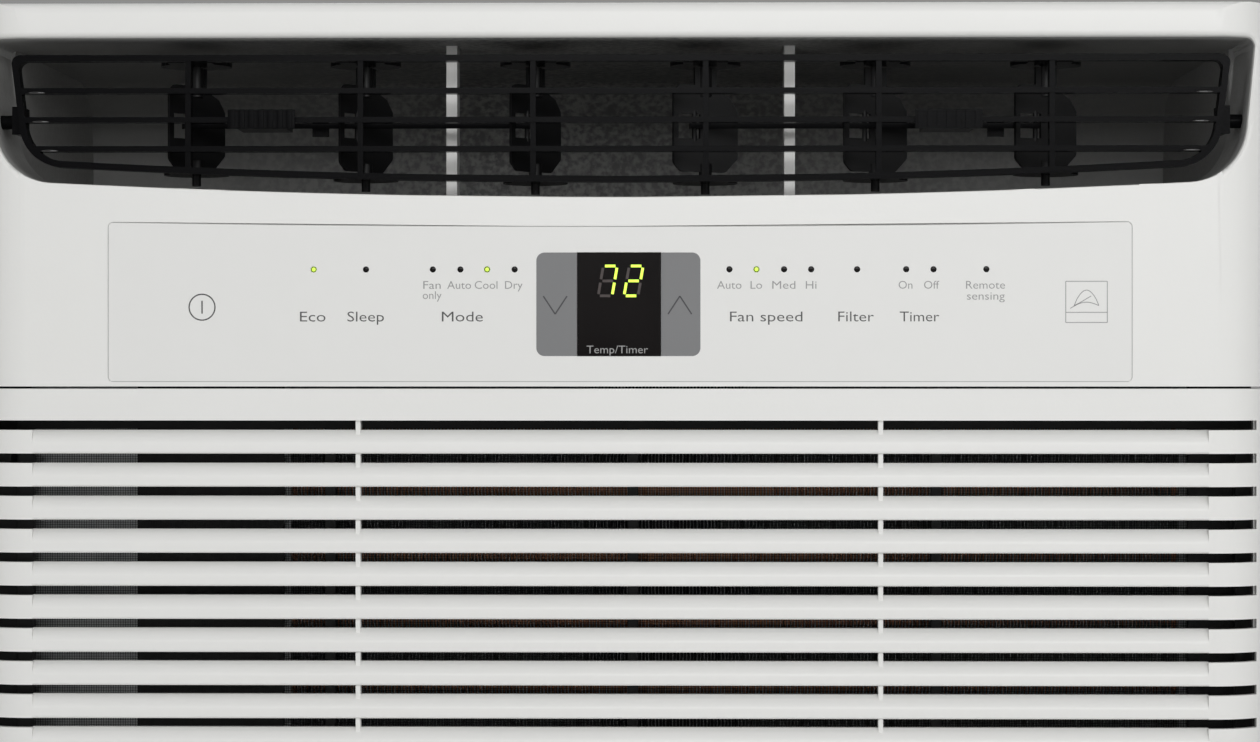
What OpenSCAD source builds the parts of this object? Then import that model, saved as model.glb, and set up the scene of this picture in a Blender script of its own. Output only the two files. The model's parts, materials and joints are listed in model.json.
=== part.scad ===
// Window air conditioner: front moulding with a discharge mouth, swinging louvre and vanes,
// touch control strip, slotted intake grille with a slide-out filter, cooling coil, blower,
// fan motor, compressor, condenser coil and steel cabinet.

/* [Overall size] */
// Width across the front moulding
body_w = 470; // [440:1:570]
// Depth from the front face to the rear guard
body_d = 546; // [530:1:660]
// Height of the front moulding
body_h = 368; // [360:1:450]

/* [Front moulding] */
// Wall thickness of the plastic mouldings
wall = 2.6; // [2:0.1:3.4]
// Radius of the front's upright corners
corner_r = 24; // [16:1:30]
// Depth of the front moulding
front_d = 62; // [58:1:66]
// Height of the upper fascia above the seam
fascia_h = 137.2; // [134:0.2:145]
// Radius of the front's top edge
top_edge_r = 4; // [2:0.5:8]
// Gap between the fascia and the intake grille
seam_gap = 0.8; // [0.4:0.1:1.6]

/* [Discharge mouth] */
// Top of the mouth below the top of the front
mouth_top = 12.6; // [10:0.1:16]
// Height of the mouth at its centre
mouth_h = 56.8; // [54:0.1:60]
// Margin from the mouth's top corner to the side
mouth_side = 7.8; // [6:0.1:12]
// Radius of the mouth's lower corners
mouth_r = 22; // [14:1:26]
// Rise of the mouth's lower edge at its ends
mouth_sag = 6.5; // [3:0.1:8]

/* [Louvre] */
// Thickness of the louvre bars
bar_t = 2; // [1.6:0.1:2.6]
// Depth of the louvre bars
bar_d = 5.6; // [4:0.1:5.8]
// Spacing of the level bars
bar_pitch = 10.4; // [9.8:0.1:11]
// Radius of the louvre's side pivots
pivot_r = 2.5; // [2:0.1:3.5]
// Half the length of a vane, front to back
vane_half = 13.3; // [11:0.1:13.4]
// Height of a vane blade
vane_h = 31.5; // [28:0.5:32]
// Thickness of a vane blade
vane_t = 1.2; // [1:0.1:1.6]
// Crank radius of the link pin on a vane
link_r = 4.5; // [4:0.1:4.8]
// Resting turn of the left vanes from straight ahead
turn_left = 40; // [0:1:62]
// Resting turn of the right vanes from straight ahead
turn_right = 62; // [0:1:62]

/* [Intake grille] */
// Spacing of the intake slots
slot_pitch = 11.77; // [10:0.01:14]
// Height of an intake slot
slot_h = 3.4; // [2.6:0.1:4.4]
// Height of the plain strip above the first slot
strip_h = 11.3; // [9:0.1:20]
// Depth of the scoop above each blade's flat band
scoop_d = 3.6; // [2:0.1:4.5]

/* [Controls] */
// Half the width of the control strip
panel_half = 182; // [176:1:190]
// Height of the control strip
panel_h = 57; // [54:0.5:58]
// Thickness of the control overlay
overlay_t = 0.8; // [0.5:0.1:1]
// Travel of a key
key_travel = 0.4; // [0.2:0.1:0.6]

/* [Cooling side] */
// Depth of the cooling coil
evap_d = 40; // [30:1:44]
// Outer radius of the coil tubes
tube_r = 4.75; // [4:0.05:5]
// Outer radius of the blower wheel
wheel_r = 82; // [70:1:86]
// Width of the blower wheel
wheel_w = 62; // [50:1:64]

/* [Outdoor side] */
// Outer radius of the condenser fan ring
fan_r = 134; // [110:1:136]
// Depth of the condenser coil
cond_d = 40; // [30:1:44]
// Radius of the compressor shell
comp_r = 56; // [48:1:58]
// Height of the compressor shell
comp_h = 215; // [180:1:225]
// Radius of the fan shaft
shaft_r = 4; // [3:0.1:5]

/* [Cabinet] */
// Thickness of the sheet steel
sheet = 1.2; // [0.8:0.1:1.6]
// Height of the base pan's rim
pan_h = 28; // [22:1:32]
// Radius of the screw holes
screw_r = 2.2; // [1.6:0.1:2.6]
// Radius of the cord gland's bore
gland_r = 3.9; // [3:0.1:4.2]

/* [Hidden] */
$fn = 64;
run_fit = 0.05;                       // radial gap of a turning pin
slip = 0.4;                           // gap between sliding or neighbouring pieces
layout = body_w / 470;                // widths that follow the body
half_w = body_w / 2;
yf = -body_d / 2;
yb = body_d / 2;
seam_z = body_h - fascia_h;
rear_y = yf + front_d;

// Discharge mouth and louvre
mouth_z1 = body_h - mouth_top;
mouth_z0 = mouth_z1 - mouth_h;
mouth_a = half_w - mouth_side;
side_inset = 8;
rim_inset = 5.6;
lou_y = yf + 18;
lou_z = (mouth_z1 + mouth_z0) / 2 - 0.4;
bar_y0 = yf + 6.4;
bar_y1 = bar_y0 + bar_d;
vane_y = yf + 27.5;
vane_pitch = 61.8 * layout;
vane_z0 = lou_z - vane_h / 2 - 1.8;
vane_z1 = vane_z0 + vane_h;
disc_r = 12.8;
disc_t = 2;
pin_r = 1.6;
crank_r = 0.9;
link_z = lou_z - 1;
link_h = 2;
link_t = 1.2;
link_fwd = 1.7;
window_h = 9;

// Intake grille
grille_z0 = 3;
grille_z1 = seam_z - seam_gap / 2;
slots = floor((grille_z1 - strip_h - slot_h - 14) / slot_pitch) + 1;
slot_end = 8;                         // from the end of a slot to the side
flat_h = 3.4;

// Controls
panel_z0 = seam_z + seam_gap / 2 + 1.6;
panel_z1 = panel_z0 + panel_h;
led_z = panel_z1 - 17;
key_z = panel_z0 + 26.5;
display_w = 30;
display_h = 37;
display_z = panel_z0 + 27.6;
led_x = [-108.6, -90, -66.2, -56.4, -46.9, -37.1, 39.2, 48.8, 58.6, 68.2, 84.5, 101.9, 111.6, 130.3];
key_names = ["power", "eco", "sleep", "mode", "down", "up", "fan", "filter", "timer"];
key_x = [-148.4, -108.6, -90, -55, -22.6, 22, 52.5, 84.5, 106.5];
pcb_y = yf + 13;

// Inner frame and filter
frame_y = yf + 44;
filter_y = yf + 37;
filter_t = 4;
filter_z0 = 18.5;
filter_z1 = seam_z - 9.3;
shell_in = half_w - wall;
cab_half = shell_in - 0.2;

// Cooling side
evap_x0 = -half_w + 109.3;
evap_x1 = half_w - 25.2;
evap_y0 = yf + 68;
evap_z0 = 27;
evap_z1 = mouth_z0 - 15;
evap_rows = tube_rows(evap_z0, evap_z1, 24.9);
fan_x = (evap_x0 + evap_x1) / 2;
fan_z = 0.475 * body_h;
scroll_y0 = yf + 118;
scroll_y1 = yf + 198;
bulk_y = yf + 212;
box_x0 = -half_w + 13;
box_x1 = -half_w + 57;

// Outdoor side
cond_y0 = yb - 68;
cond_x0 = -half_w + 45;
cond_x1 = half_w - 30;
cond_z0 = 30;
cond_z1 = body_h - 38;
cond_rows = tube_rows(cond_z0, cond_z1, 29.25);
fan_y0 = yb - 166;
fan_y1 = yb - 126;
motor_y0 = (bulk_y + fan_y0) / 2 - 42;
motor_y1 = motor_y0 + 78;
motor_r = 48;
comp_x = -half_w + 95;
comp_y = (bulk_y + fan_y0) / 2;
comp_z0 = 34;
acc_x = comp_x + comp_r + 30;
gland_y = yf + 29;
gland_z = grille_z0 + wall + 6;
line_z = mouth_z0 - 18;
cab_y0 = yf + 50;
cab_y1 = yb - 8;
cab_z0 = grille_z0 + wall + slip;
cab_z1 = body_h - wall - 0.2;

// An even number of tube rows, no further apart than most
function tube_rows(z0, z1, most) = 2 * ceil((z1 - z0 - 8) / (2 * most));

// Height of tube row k
function row_z(z0, z1, n, k) = z0 + 4 + (k + 0.5) * (z1 - z0 - 8) / n;

white = [0.9, 0.9, 0.88];
black = [0.06, 0.06, 0.065];
grey = [0.27, 0.27, 0.27];
steel = [0.62, 0.63, 0.64];
copper = [0.72, 0.42, 0.26];

// Outline drawn in X and Z, solid from y0 to y1
module xz(y0, y1) {
  translate([0, y1, 0])
    rotate([90, 0, 0])
      linear_extrude(y1 - y0)
        children();
}

// Outline drawn in Y and Z, solid from x0 to x1
module yz(x0, x1) {
  translate([x0, 0, 0])
    rotate([90, 0, 90])
      linear_extrude(x1 - x0)
        children();
}

module box(x0, x1, y0, y1, z0, z1) {
  translate([x0, y0, z0])
    cube([x1 - x0, y1 - y0, z1 - z0]);
}

module rod_y(x, z, r, y0, y1) {
  translate([x, y1, z])
    rotate([90, 0, 0])
      cylinder(h = y1 - y0, r = r);
}

module rod_x(y, z, r, x0, x1) {
  translate([x0, y, z])
    rotate([0, 90, 0])
      cylinder(h = x1 - x0, r = r);
}

// Plan of the front moulding, inset by n, running back to y1
module front_plan(n, y1) {
  x = half_w - n;
  r = corner_r - n;
  translate([-x, yf + n + r])
    square([2 * x, y1 - yf - n - r]);
  translate([-x + r, yf + n])
    square([2 * (x - r), r + 1]);
  for (s = [-1, 1])
    translate([s * (x - r), yf + n + r])
      circle(r);
}

// Outline of the discharge mouth, brought in at the sides, top and bottom
module mouth(side, top, bottom, r) {
  a = mouth_a - side;
  z1 = mouth_z1 - top;
  z0 = mouth_z0 + bottom;
  lean = 6;
  n = 24;
  offset(r = 3)
    offset(delta = -3)
      intersection() {
        translate([-body_w, z0 - 20])
          square([2 * body_w, z1 - z0 + 20]);
        offset(r = r)
          offset(delta = -r)
            polygon(concat(
              [[-a - lean, z1 + mouth_h], [a + lean, z1 + mouth_h]],
              [for (i = [n:-1:-n])
                let (x = (a - lean) * i / n)
                [x, z0 + mouth_sag * pow(x / a, 2)]]));
      }
}

// ---- Front ----

module key_place() {
  for (i = [0:8])
    translate([key_x[i] * layout, 0, key_z])
      children();
}

module front_bezel() {
  z0 = seam_z + seam_gap / 2;
  color(white)
    difference() {
      union() {
        intersection() {
          difference() {
            translate([0, 0, z0])
              linear_extrude(body_h - z0)
                front_plan(0, rear_y);
            translate([0, 0, z0 - 1])
              linear_extrude(body_h - wall - z0 + 1)
                front_plan(wall, rear_y + 1);
          }
          yz(-half_w - 1, half_w + 1)
            union() {
              translate([yf, 0])
                square([body_d, body_h - top_edge_r]);
              translate([yf + top_edge_r, 0])
                square([body_d, body_h]);
              translate([yf + top_edge_r, body_h - top_edge_r])
                circle(top_edge_r);
            }
        }
        // return shelf along the seam
        translate([0, 0, z0])
          linear_extrude(1.6)
            intersection() {
              front_plan(0.5, rear_y - 1);
              translate([-half_w, yf])
                square([body_w, 12]);
            }
        // upright ribs that split the mouth
        for (s = [-1, 1])
          box(s * vane_pitch - 6, s * vane_pitch + 6, yf + 1, yf + 47,
              mouth_z1 + 2, mouth_z1 + 2 + wall);
        for (s = [-1, 1])
          box(s * vane_pitch - 6, s * vane_pitch + 6, yf + 1, yf + 47,
              mouth_z0 - 3 - wall, mouth_z0 - 3);
        for (s = [-1, 1])
          box(s * vane_pitch - 1.95, s * vane_pitch + 1.95, yf + 33, yf + 47,
              mouth_z0 - 3 - wall, mouth_z1 + 2 + wall);
        // posts that carry the control board
        for (s = [-1, 1], t = [8, 50])
          rod_y(s * 150 * layout + (s < 0 ? 22 : 0), panel_z0 + t, 3, yf + 1, pcb_y);
      }
      xz(yf - 1, yf + corner_r / 2)
        mouth(0, 0, 0, mouth_r);
      xz(yf - 1, yf + overlay_t + 0.1)
        panel_plan(0);
      key_place()
        box(-5.5, 5.5, yf, yf + wall + 1, -4.5, 4.5);
      for (x = led_x)
        rod_y(x * layout, led_z, 1.2, yf, yf + wall + 1);
      box(-display_w / 2 + 1, display_w / 2 - 1, yf, yf + wall + 1,
          display_z - display_h / 2 + 1, display_z + display_h / 2 - 1);
    }
}

// Face of the control strip, with a softly bowed top edge
module panel_plan(n) {
  a = panel_half * layout - n;
  m = 16;
  offset(r = 2)
    offset(delta = -2)
      polygon(concat(
        [[-a, panel_z0 + n], [a, panel_z0 + n]],
        [for (i = [m:-1:-m])
          [a * i / m, panel_z1 - n - 1.6 + 1.6 * pow(i / m, 2)]]));
}

// One blade of the intake grille seen from the side: back is +X, top of the blade at y = 0
module blade_side() {
  blade_h = slot_pitch - slot_h;
  rise = blade_h - flat_h;
  n = 6;
  back = 2.2;
  polygon(concat(
    [for (i = [0:n])
      [scoop_d * pow(1 - i / n, 1.7), -rise * i / n]],
    [[0, -blade_h + 0.5], [0.5, -blade_h], [back + 0.2, -blade_h], [back + 0.2, -rise]],
    [[scoop_d + back, 0]]));
}

module blade(z) {
  x = half_w - corner_r - 1.5;
  translate([0, yf, z])
    yz(-x, x)
      blade_side();
}

function slot_top(i) = grille_z1 - strip_h - i * slot_pitch;

module intake_grille() {
  low = slot_top(slots - 1) - slot_h;
  x = half_w - corner_r - 2;
  color(white)
    difference() {
      union() {
        difference() {
          translate([0, 0, grille_z0])
            linear_extrude(grille_z1 - grille_z0)
              front_plan(0, rear_y);
          translate([0, 0, grille_z0 + wall])
            linear_extrude(body_h)
              front_plan(wall, rear_y + 1);
          // the flat of the slotted face is taken out before the blades go in
          box(-x, x, yf - 1, yf + 8, low, slot_top(0));
          // only the front edge of the floor is kept
          box(-shell_in, shell_in, frame_y, rear_y + 1, 0, grille_z0 + wall + 1);
        }
        for (i = [0:slots - 2])
          blade(slot_top(i) - slot_h);
        // upright ties behind the blades
        for (t = [-93, 93])
          box(t * layout - 0.85, t * layout + 0.85, yf + 1.8, yf + 7, low - 1, slot_top(0) + 1);
        // return shelf along the seam
        translate([0, 0, grille_z1 - 1.6])
          linear_extrude(1.6)
            intersection() {
              front_plan(0.5, rear_y - 1);
              translate([-half_w, yf])
                square([body_w, 12]);
            }
      }
      // slots run on round the corners
      for (i = [0:slots - 1], s = [-1, 1])
        box(s > 0 ? x : -half_w + slot_end, s > 0 ? half_w - slot_end : -x, yf - 1,
            yf + corner_r / 2, slot_top(i) - slot_h, slot_top(i));
      // way out for the filter
      box(shell_in - 1, half_w + 1, filter_y - 0.8, filter_y + filter_t + 0.8,
          filter_z0 - 1, filter_z1 + 1);
      rod_x(gland_y, gland_z, gland_r + 1.6, shell_in - 1, half_w + 1);
    }
}

// Black carrier behind the grille, open over the coil and the control box, with filter rails
module front_frame() {
  z1 = mouth_z0 - 3 - wall - slip;
  color(black)
    difference() {
      union() {
        box(-cab_half, cab_half, frame_y, frame_y + 3, cab_z0, z1);
        for (z = [filter_z0 - slip - 2, filter_z1 + slip])
          box(-half_w + 10, shell_in - 1, filter_y - 2.4, frame_y + 1, z, z + 2);
        box(-half_w + 10, shell_in - 1, filter_y - 2.4, filter_y - 0.4,
            filter_z0 - slip - 2, filter_z0 + 3);
        box(-half_w + 10, shell_in - 1, filter_y - 2.4, filter_y - 0.4,
            filter_z1 - 3, filter_z1 + slip + 2);
        for (z = [filter_z0 + 70, filter_z1 - 20])
          box(-cab_half, -half_w + 11, filter_y - 2, frame_y + 1, z, z + 12);
      }
      box(evap_x0 + 1, evap_x1 - 1, frame_y - 1, frame_y + 4, evap_z0 + 1, evap_z1 - 1);
      box(box_x0 + 3, box_x1 - 1, frame_y - 1, frame_y + 4, 34, evap_z1 - 1);
    }
}

// Dark channel that carries the cooled air forward over the coil
module discharge_duct() {
  t = 1.6;
  mid = yf + 46;
  end = scroll_y1 + 2;
  color(grey)
    difference() {
      union() {
        // the ring stops behind the moulding's rounded corners
        intersection() {
          xz(yf + wall + 0.3, mid)
            mouth(-t, -t, -t, mouth_r + t);
          translate([0, 0, mouth_z0 - 20])
            linear_extrude(mouth_h + 40)
              front_plan(wall + 0.2, mid + 1);
        }
        box(-mouth_a - t, mouth_a + t, mid - 2, end, mouth_z0 - t - 1, mouth_z1 + t);
      }
      xz(yf, mid + 0.1)
        mouth(0, 0, 0, mouth_r);
      difference() {
        box(-mouth_a + 3, mouth_a - 3, mid, end - t, mouth_z0 + 2, mouth_z1);
        // rounded upper back corner
        translate([0, end - t - 30, mouth_z1 - 30])
          difference() {
            box(-body_w, body_w, 0, 31, 0, 31);
            rod_x(0, 0, 30, -body_w - 1, body_w + 1);
          }
      }
      // blower outlet comes up through the floor
      box(fan_x - 58, fan_x + 118, scroll_y0 - 1, scroll_y1 - 1, mouth_z0 - 6, mouth_z0 + 3);
      for (s = [-1, 1])
        box(s * vane_pitch - 2.4, s * vane_pitch + 2.4, yf + 30, yf + 47.5,
            mouth_z0 - 8, mouth_z1 + 8);
      for (s = [-1, 1])
        box(s * vane_pitch - 6.4, s * vane_pitch + 6.4, yf, yf + 47.5,
            mouth_z1 + 1.2, mouth_z1 + 10);
      for (s = [-1, 1])
        rod_x(lou_y, lou_z, pivot_r + run_fit, s > 0 ? 180 * layout : -half_w,
              s > 0 ? half_w : -180 * layout);
    }
}

// ---- Louvre ----

function vane_x(i) = (i - 3.5) * vane_pitch;
function turn(i) = i < 3.5 ? turn_left : turn_right;
function rim_low(x) = mouth_z0 + rim_inset + mouth_sag * pow(x / (mouth_a - side_inset), 2);

module louver_frame() {
  rim = 2.2;
  arm = mouth_a - side_inset - 4.5;
  color(black)
    difference() {
      union() {
        xz(bar_y0, bar_y1)
          difference() {
            mouth(side_inset, rim_inset, rim_inset, 16);
            mouth(side_inset + rim, rim_inset + rim, rim_inset + rim, 14);
          }
        intersection() {
          xz(bar_y0, bar_y1)
            mouth(side_inset + 1, rim_inset + 1, rim_inset + 1, 15);
          union() {
            for (k = [-1, 0, 1])
              box(-half_w, half_w, bar_y0, bar_y1, lou_z + k * bar_pitch - bar_t / 2,
                  lou_z + k * bar_pitch + bar_t / 2);
            for (i = [1:6])
              box(vane_x(i) - bar_t / 2, vane_x(i) + bar_t / 2, bar_y0 + 0.6, bar_y1,
                  mouth_z0, mouth_z1);
          }
        }
        // discs that hold the vane pins
        for (i = [1:6]) {
          translate([vane_x(i), vane_y, mouth_z1 - rim_inset - disc_t - 0.4])
            cylinder(h = disc_t, r = disc_r);
          box(vane_x(i) - 8, vane_x(i) + 8, bar_y1 - 1, vane_y,
              mouth_z1 - rim_inset - disc_t - 0.4, mouth_z1 - rim_inset - 0.4);
          translate([vane_x(i), vane_y, rim_low(vane_x(i)) + 0.4])
            cylinder(h = disc_t, r = disc_r - 1);
          box(vane_x(i) - 8, vane_x(i) + 8, bar_y1 - 1, vane_y,
              rim_low(vane_x(i)) + 0.4, rim_low(vane_x(i)) + 0.4 + disc_t);
        }
        // side arms and pivots
        for (s = [0, 1])
          mirror([s, 0, 0]) {
            box(arm, arm + 2.4, bar_y1 - 2, lou_y + 5, lou_z - 5, lou_z + 5);
            box(arm, arm + 3.4, bar_y1 - 3, bar_y1, lou_z - 5, lou_z + 5);
            rod_x(lou_y, lou_z, pivot_r, arm + 1, mouth_a - 1);
          }
      }
      for (i = [1:6])
        translate([vane_x(i), vane_y, mouth_z0])
          cylinder(h = mouth_h, r = pin_r + run_fit);
    }
}

// One vane, drawn straight ahead about its own upright axis and then turned
module vane(i) {
  top_pin = mouth_z1 - rim_inset - 0.6;
  low_pin = rim_low(vane_x(i)) - 3.4;
  z0 = max(vane_z0, rim_low(vane_x(i)) + disc_t + 0.9);
  c = 5.2;
  color(black)
    translate([vane_x(i), vane_y, 0])
      rotate([0, 0, -turn(i)])
        union() {
          difference() {
            yz(-vane_t / 2, vane_t / 2)
              offset(r = 2)
                offset(delta = -2)
                  polygon([[-vane_half, z0 + 3], [-vane_half + 3, z0], [vane_half - c, z0],
                    [vane_half, z0 + c], [vane_half, vane_z1 - 9], [vane_half - 3, vane_z1 - 4.5],
                    [vane_half - 8, vane_z1 - 2], [4.5, vane_z1], [-vane_half + 2.5, vane_z1],
                    [-vane_half, vane_z1 - 2.5]]);
            box(-2, 2, -11.3, -2.3, link_z - window_h / 2, link_z + window_h / 2);
          }
          translate([0, -link_r, link_z - window_h / 2 - 1])
            cylinder(h = window_h + 2, r = crank_r);
          // neck and pins
          box(-vane_t / 2, vane_t / 2, -4.5, 4.5, vane_z1 - 2,
              mouth_z1 - rim_inset - disc_t - 0.8);
          translate([0, 0, vane_z1 - 4])
            cylinder(h = mouth_z1 - rim_inset - disc_t - 0.8 - vane_z1 + 4, r = 2.4);
          translate([0, 0, vane_z1 - 4])
            cylinder(h = top_pin - vane_z1 + 4, r = pin_r);
          translate([0, 0, rim_low(vane_x(i)) + disc_t + 0.8])
            cylinder(h = z0 - rim_low(vane_x(i)) - disc_t + 2.2, r = 2.4);
          translate([0, 0, low_pin])
            cylinder(h = z0 + 3 - low_pin, r = pin_r);
        }
}

// Link that ties three vanes together, with the ribbed thumb tab
module link(first, tab_x, lug_x) {
  a = turn(first);
  dx = -link_r * sin(a);
  py = vane_y - link_r * cos(a);
  rear = vane_y - link_r * cos(62);
  shift = py - rear;
  tab_y = bar_y0 - 0.6 + shift;
  tab_h = 6.8;
  tab_w = 24;
  gap = bar_t / 2 + 0.7;
  color(black)
    difference() {
      union() {
        box(vane_x(first) + dx - 1.5, vane_x(first + 2) + dx + 1.5, py - link_fwd - link_t / 2,
            py - link_fwd + link_t / 2, link_z - link_h / 2, link_z + link_h / 2);
        for (i = [first:first + 2])
          translate([vane_x(i) + dx, py, link_z - link_h / 2])
            cylinder(h = link_h, r = 1.9);
        // legs that pass above and below the middle bar
        for (s = [-1, 1])
          box(tab_x - 9, tab_x + 9, tab_y - 1, py - link_fwd + link_t / 2,
              lou_z + (s > 0 ? gap : -tab_h / 2), lou_z + (s > 0 ? tab_h / 2 : -gap));
        box(tab_x - 9, tab_x + 9, py - link_fwd - link_t / 2, py - link_fwd + link_t / 2,
            lou_z - tab_h / 2, lou_z + tab_h / 2);
        box(tab_x - tab_w / 2, tab_x + tab_w / 2, tab_y - 1, tab_y,
            lou_z - tab_h / 2, lou_z + tab_h / 2);
        for (k = [-3:3])
          box(tab_x + k * 3.4 - 0.9, tab_x + k * 3.4 + 0.9, tab_y - 1.6, tab_y - 0.5,
              lou_z - tab_h / 2, lou_z + tab_h / 2);
        box(lug_x - 3, lug_x + 3, py - link_fwd - link_t / 2, py - link_fwd + link_t / 2,
            link_z - 4, link_z);
      }
      for (i = [first:first + 2])
        translate([vane_x(i) + dx, py, link_z - link_h])
          cylinder(h = 2 * link_h, r = crank_r + run_fit);
    }
}

// ---- Controls ----

module control_overlay() {
  color([0.88, 0.88, 0.87])
    difference() {
      xz(yf + 0.1, yf + overlay_t)
        panel_plan(0.15);
      box(-display_w / 2, display_w / 2, yf - 1, yf + 2,
          display_z - display_h / 2, display_z + display_h / 2);
      for (x = led_x)
        rod_y(x * layout, led_z, 1.1, yf - 1, yf + 2);
    }
}

module display_window() {
  color([0.02, 0.02, 0.02])
    box(-display_w / 2 + 0.1, display_w / 2 - 0.1, yf + 0.1, yf + overlay_t,
        display_z - display_h / 2 + 0.1, display_z + display_h / 2 - 0.1);
}

module display_module() {
  color([0.1, 0.09, 0.08])
    union() {
      box(-13, 13, yf + 1.2, pcb_y - 0.01, display_z - 5, display_z + 16);
      for (s = [-1, 1], d = [-1, 1])
        rod_y(s * 10, display_z + 5.5 + d * 7, 0.5, pcb_y - 0.5, pcb_y);
    }
}

module led_lenses() {
  color([0.05, 0.05, 0.05])
    for (x = led_x)
      rod_y(x * layout, led_z, 1, yf + 0.1, pcb_y - 2.1);
}

module control_pcb() {
  a = 162 * layout;
  color([0.1, 0.3, 0.16])
    union() {
      box(-a, a, pcb_y, pcb_y + 1.6, panel_z0 + 4, panel_z0 + 54);
      key_place()
        box(-3, 3, pcb_y - 2.6, pcb_y + 0.5, -3, 3);
      for (x = led_x)
        box(x * layout - 1.4, x * layout + 1.4, pcb_y - 1.8, pcb_y + 0.5, led_z - 1.4, led_z + 1.4);
      box(-120, -95, pcb_y + 1, pcb_y + 5, panel_z0 + 12, panel_z0 + 24);
      box(90, 130, pcb_y + 1, pcb_y + 9, panel_z0 + 34, panel_z0 + 44);
      box(-14, 16, pcb_y + 1, pcb_y + 4, panel_z0 + 20, panel_z0 + 34);
    }
}

// Key tab that backs the overlay, held by a flange behind the wall
module key_tab(i) {
  stop = pcb_y - 2.6 - key_travel - 0.1;
  color([0.8, 0.8, 0.79])
    translate([key_x[i] * layout, 0, key_z])
      union() {
        box(-5, 5, yf + overlay_t + 0.2, yf + 4, -4, 4);
        box(-6.6, 6.6, yf + wall + 0.3, yf + 4.2, -5.4, 5.4);
        rod_y(0, 0, 2, yf + 3, stop);
      }
}

// ---- Filter ----

module filter_frame() {
  x0 = -half_w + 13;
  x1 = shell_in - 1.4;
  color([0.12, 0.12, 0.13])
    difference() {
      union() {
        difference() {
          box(x0, x1, filter_y, filter_y + filter_t, filter_z0, filter_z1);
          for (k = [0:3], m = [0:2]) {
            cw = (x1 - x0 - 8) / 4;
            ch = (filter_z1 - filter_z0 - 8) / 3;
            box(x0 + 6 + k * cw, x0 + 2 + (k + 1) * cw, filter_y - 1, filter_y + 10,
                filter_z0 + 6 + m * ch, filter_z0 + 2 + (m + 1) * ch);
          }
        }
        // finger tab that shows in the side wall
        box(x1 - 1, half_w - 0.6, filter_y, filter_y + filter_t, 100, 140);
      }
      box(x1 + 0.6, half_w + 1, filter_y - 1, filter_y + 1.2, 104, 136);
    }
}

module filter_mesh() {
  x0 = -half_w + 13;
  x1 = shell_in - 1.4;
  color([0.2, 0.2, 0.21])
    box(x0 + 3, x1 - 3, filter_y + filter_t + 0.01, filter_y + filter_t + 0.5,
        filter_z0 + 3, filter_z1 - 3);
}

// ---- Cooling side ----

// Rows of tubes along X joined by return bends, from x0 to x1
module coil_tubes(x0, x1, ys, z0, z1, n) {
  p = (z1 - z0) / n;
  for (y = ys) {
    for (k = [0:n - 1])
      rod_x(y, z0 + (k + 0.5) * p, tube_r, x0 - 3, x1 + 3);
    for (k = [0:n - 2])
      translate([k % 2 == 0 ? x1 + 3 : x0 - 3, y, z0 + (k + 1) * p])
        rotate([90, 0, 0])
          rotate([0, 0, k % 2 == 0 ? -90 : 90])
            rotate_extrude(angle = 180)
              translate([p / 2, 0])
                circle(tube_r);
  }
}

module coil_fins(x0, x1, y0, d, z0, z1, n) {
  p = (x1 - x0) / n;
  for (k = [0:n - 1])
    box(x0 + (k + 0.5) * p - 0.2, x0 + (k + 0.5) * p + 0.2, y0, y0 + d, z0, z1);
}

module evap_fins() {
  color(steel)
    coil_fins(evap_x0 + 1, evap_x1 - 1, evap_y0, evap_d, evap_z0, evap_z1, 90);
}

module evap_tubes() {
  color(copper)
    coil_tubes(evap_x0, evap_x1, [evap_y0 + evap_d * 0.25, evap_y0 + evap_d * 0.75],
               evap_z0 + 4, evap_z1 - 4, evap_rows);
}

module end_plate(x, s, y0, d, z0, z1, n) {
  difference() {
    union() {
      box(x - 0.6, x + 0.6, y0, y0 + d, z0, z1);
      box(min(x, x + s * 12), max(x, x + s * 12), y0, y0 + 1.2, z0, z1);
    }
    for (y = [y0 + d * 0.25, y0 + d * 0.75], k = [0:n - 1])
      rod_x(y, row_z(z0, z1, n, k), tube_r, x - 2, x + 2);
  }
}

module evap_plates() {
  color(steel) {
    end_plate(evap_x0, -1, evap_y0, evap_d, evap_z0, evap_z1, evap_rows);
    end_plate(evap_x1, 1, evap_y0, evap_d, evap_z0, evap_z1, evap_rows);
  }
}

module drain_pan() {
  color([0.85, 0.85, 0.84])
    difference() {
      box(evap_x0 - 14, evap_x1 + 14, evap_y0 - 10, evap_y0 + evap_d + 8, 6, evap_z0 + 10);
      box(evap_x0 - 12, evap_x1 + 12, evap_y0 - 6, evap_y0 + evap_d + 4, evap_z0 - 0.01, evap_z0 + 11);
      box(evap_x0 - 4, evap_x1 + 4, evap_y0 + 4, evap_y0 + evap_d - 4, 12, evap_z0 + 1);
    }
}

module temp_sensor() {
  x = evap_x0 + 128;
  z = seam_z + 12;
  color([0.15, 0.15, 0.15])
    union() {
      rod_x(evap_y0 - 7, z, 2.4, x, x + 26);
      box(x + 6, x + 10, evap_y0 - 10, evap_y0, z - 4, z + 4);
      box(x + 16, x + 20, evap_y0 - 10, evap_y0, z - 4, z + 4);
    }
}

module control_box() {
  y0 = frame_y + 6;
  y1 = scroll_y0 + 35;
  color([0.75, 0.76, 0.77])
    difference() {
      box(box_x0, box_x1, y0, y1, 32, evap_z1);
      box(box_x0 - 1, box_x1 - sheet, y0 + sheet, y1 - sheet, 32 + sheet, evap_z1 - sheet);
    }
}

module box_cover() {
  y0 = frame_y + 6;
  y1 = scroll_y0 + 35;
  color([0.75, 0.76, 0.77])
    box(box_x0 - sheet, box_x0 - 0.01, y0, y1, 32, evap_z1);
}

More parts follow.
